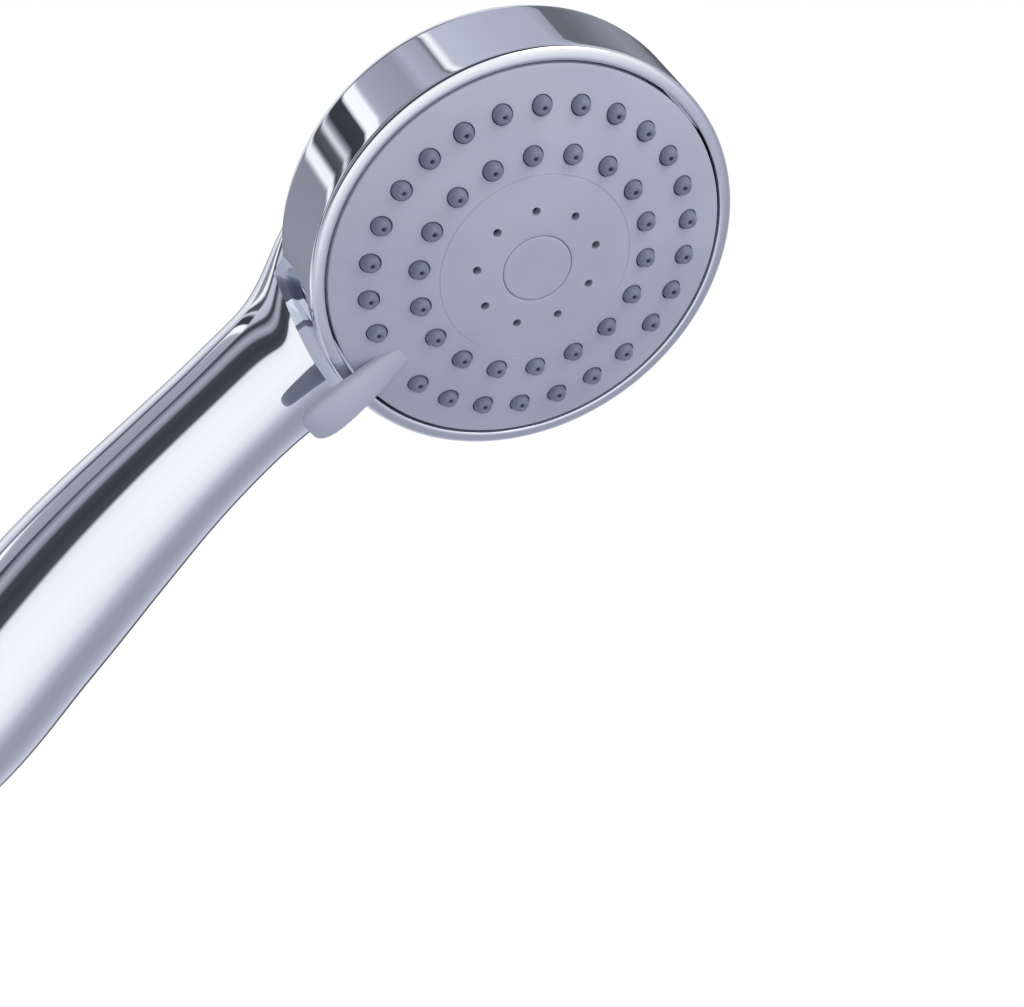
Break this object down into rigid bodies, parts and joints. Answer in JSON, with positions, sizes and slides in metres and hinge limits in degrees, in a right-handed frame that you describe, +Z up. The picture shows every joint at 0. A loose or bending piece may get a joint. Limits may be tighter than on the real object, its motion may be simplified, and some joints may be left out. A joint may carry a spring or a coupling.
{
  "type": "handheld shower head",
  "caption": "Chrome handheld shower head: curved handle, round domed spray face turned by a lever to select the spray, with a threaded hose inlet.",
  "frame": {"origin": "centre of the inlet thread's end face, where the hose washer seats", "axes": "+Z up the handle's straight lower end, -Y the way the spray face looks (27 degrees below the horizontal), +X to the right of someone who stands in front and looks at the spray face; the lever stands in the X = 0 plane at rest"},
  "size_m": [0.1, 0.103, 0.2416],
  "materials": {
    "chrome_shell": "mirror chrome plating on moulded plastic",
    "brass_inlet": "chromed brass, machined",
    "seal_rubber": "black moulded rubber",
    "screen_steel": "woven stainless mesh with a plastic rim",
    "regulator_plastic": "moulded plastic, matt",
    "inner_plastic": "natural moulded plastic, matt",
    "screw_steel": "stainless steel",
    "seal_silicone": "silicone, matt",
    "spring_steel": "drawn stainless wire",
    "pin_plastic": "acetal, slightly glossy",
    "chamber_plastic": "moulded plastic, matt",
    "face_satin": "satin light blue-grey plastic",
    "nozzle_silicone": "dark blue-grey silicone, matt",
    "rotor_plastic": "acetal, matt",
    "glide_plastic": "low friction plastic"
  },
  "bodies": {
    "handle": {"body_shell": "chrome_shell", "inlet_nipple": "brass_inlet", "nipple_orings": "seal_rubber", "filter_screen": "screen_steel", "flow_regulator": "regulator_plastic", "regulator_oring": "seal_rubber", "waterway_tube": "inner_plastic", "tube_orings": "seal_rubber", "manifold": "inner_plastic", "manifold_screws": "screw_steel", "manifold_oring": "seal_rubber", "hub_oring": "seal_rubber", "port_seal_spring": "spring_steel", "detent_spring": "spring_steel", "glide_washer": "glide_plastic", "screw_washer": "screw_steel", "retaining_screw": "screw_steel"},
    "spray_face": {"faceplate": "face_satin", "chamber_plate": "chamber_plastic", "outer_nozzles": "nozzle_silicone", "inner_nozzles": "nozzle_silicone", "swirl_plate": "chamber_plastic", "center_cap": "face_satin"},
    "turbine": {"turbine_rotor": "rotor_plastic"},
    "port_seal": {"port_seal": "seal_silicone"},
    "detent_pin": {"detent_pin": "pin_plastic"}
  },
  "joints": [
    {"name": "spray_select", "type": "hinge", "parent": "handle", "child": "spray_face", "pos_m": [0, -0.06373, 0.1875], "axis": [0, -0.891, -0.454], "range_deg": [-48, 48]},
    {"name": "turbine_spin", "type": "hinge", "parent": "spray_face", "child": "turbine", "pos_m": [0, -0.06195, 0.18841], "axis": [0, -0.891, -0.454], "continuous": true},
    {"name": "port_seal_slide", "type": "slide", "parent": "handle", "child": "port_seal", "axis": [0, -0.891, -0.454], "range_m": [-0.001, 0], "stiffness_N_per_m": 2000, "deforming": ["port_seal_spring"]},
    {"name": "detent_slide", "type": "slide", "parent": "handle", "child": "detent_pin", "axis": [0, -0.891, -0.454], "range_m": [-0.001, 0], "stiffness_N_per_m": 2000, "deforming": ["detent_spring"]}
  ]
}
